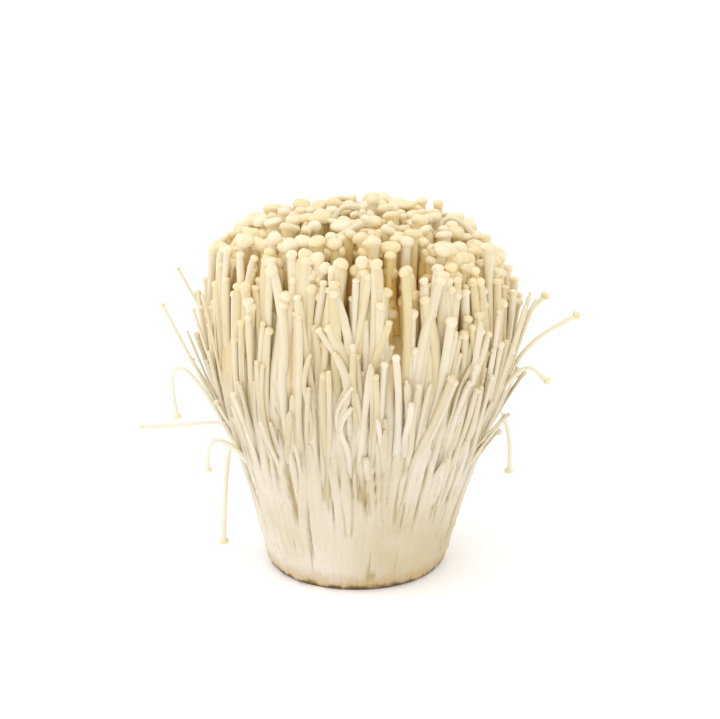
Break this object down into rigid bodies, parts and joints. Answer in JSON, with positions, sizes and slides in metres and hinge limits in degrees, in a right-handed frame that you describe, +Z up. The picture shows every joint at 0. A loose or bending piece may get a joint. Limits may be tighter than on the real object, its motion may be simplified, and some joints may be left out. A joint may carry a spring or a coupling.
{
  "type": "enoki mushroom bunch",
  "caption": "Upright bunch of long thin enoki mushrooms with small round caps, fanning out of one fused block that stands on its flat cut base.",
  "frame": {"origin": "centre of the flat cut face that the bunch stands on", "axes": "+Z up along the stems; the pictured side faces -Y, with +X to its right"},
  "size_m": [0.1667, 0.1207, 0.137],
  "materials": {
    "block_flesh": "matte, fibrous, brown at the cut edge",
    "clump_flesh": "smooth, moist, satin",
    "rim_flesh": "smooth, moist, satin",
    "loose_flesh": "smooth, slightly dried, satin"
  },
  "bodies": {
    "root": {"clump_core": "clump_flesh", "clump_middle_1": "clump_flesh", "clump_middle_2": "clump_flesh", "clump_middle_3": "clump_flesh", "clump_middle_4": "clump_flesh", "clump_outer_1": "clump_flesh", "clump_outer_2": "clump_flesh", "clump_outer_3": "clump_flesh", "clump_outer_4": "clump_flesh", "clump_outer_5": "clump_flesh", "clump_outer_6": "clump_flesh", "clump_outer_7": "clump_flesh", "fused_block": "block_flesh", "rim_mushroom_01": "rim_flesh", "rim_mushroom_02": "rim_flesh", "rim_mushroom_03": "rim_flesh", "rim_mushroom_04": "rim_flesh", "rim_mushroom_05": "rim_flesh", "rim_mushroom_06": "rim_flesh", "rim_mushroom_07": "rim_flesh", "rim_mushroom_08": "rim_flesh", "rim_mushroom_09": "rim_flesh", "rim_mushroom_10": "rim_flesh", "rim_mushroom_11": "rim_flesh", "rim_mushroom_12": "rim_flesh", "rim_mushroom_13": "rim_flesh", "rim_mushroom_14": "rim_flesh", "rim_mushroom_15": "rim_flesh", "rim_mushroom_16": "rim_flesh", "rim_mushroom_17": "rim_flesh", "rim_mushroom_18": "rim_flesh", "rim_mushroom_19": "rim_flesh", "rim_mushroom_20": "rim_flesh", "rim_mushroom_21": "rim_flesh", "rim_mushroom_22": "rim_flesh", "rim_mushroom_23": "rim_flesh", "rim_mushroom_24": "rim_flesh", "rim_mushroom_25": "rim_flesh", "rim_mushroom_26": "rim_flesh", "rim_mushroom_27": "rim_flesh", "rim_mushroom_28": "rim_flesh", "stray_back_bent": "loose_flesh", "stray_back_tall": "loose_flesh", "stray_left_capped": "loose_flesh", "stray_left_drooping": "loose_flesh", "stray_left_hanging": "loose_flesh", "stray_left_level": "loose_flesh", "stray_left_rear": "loose_flesh", "stray_left_short": "loose_flesh", "stray_left_tall": "loose_flesh", "stray_left_thin": "loose_flesh", "stray_left_upright": "loose_flesh", "stray_right_arched": "loose_flesh", "stray_right_far": "loose_flesh", "stray_right_hanging": "loose_flesh", "stray_right_rear": "loose_flesh", "stray_right_short": "loose_flesh", "stray_right_tall": "loose_flesh"}
  },
  "joints": []
}
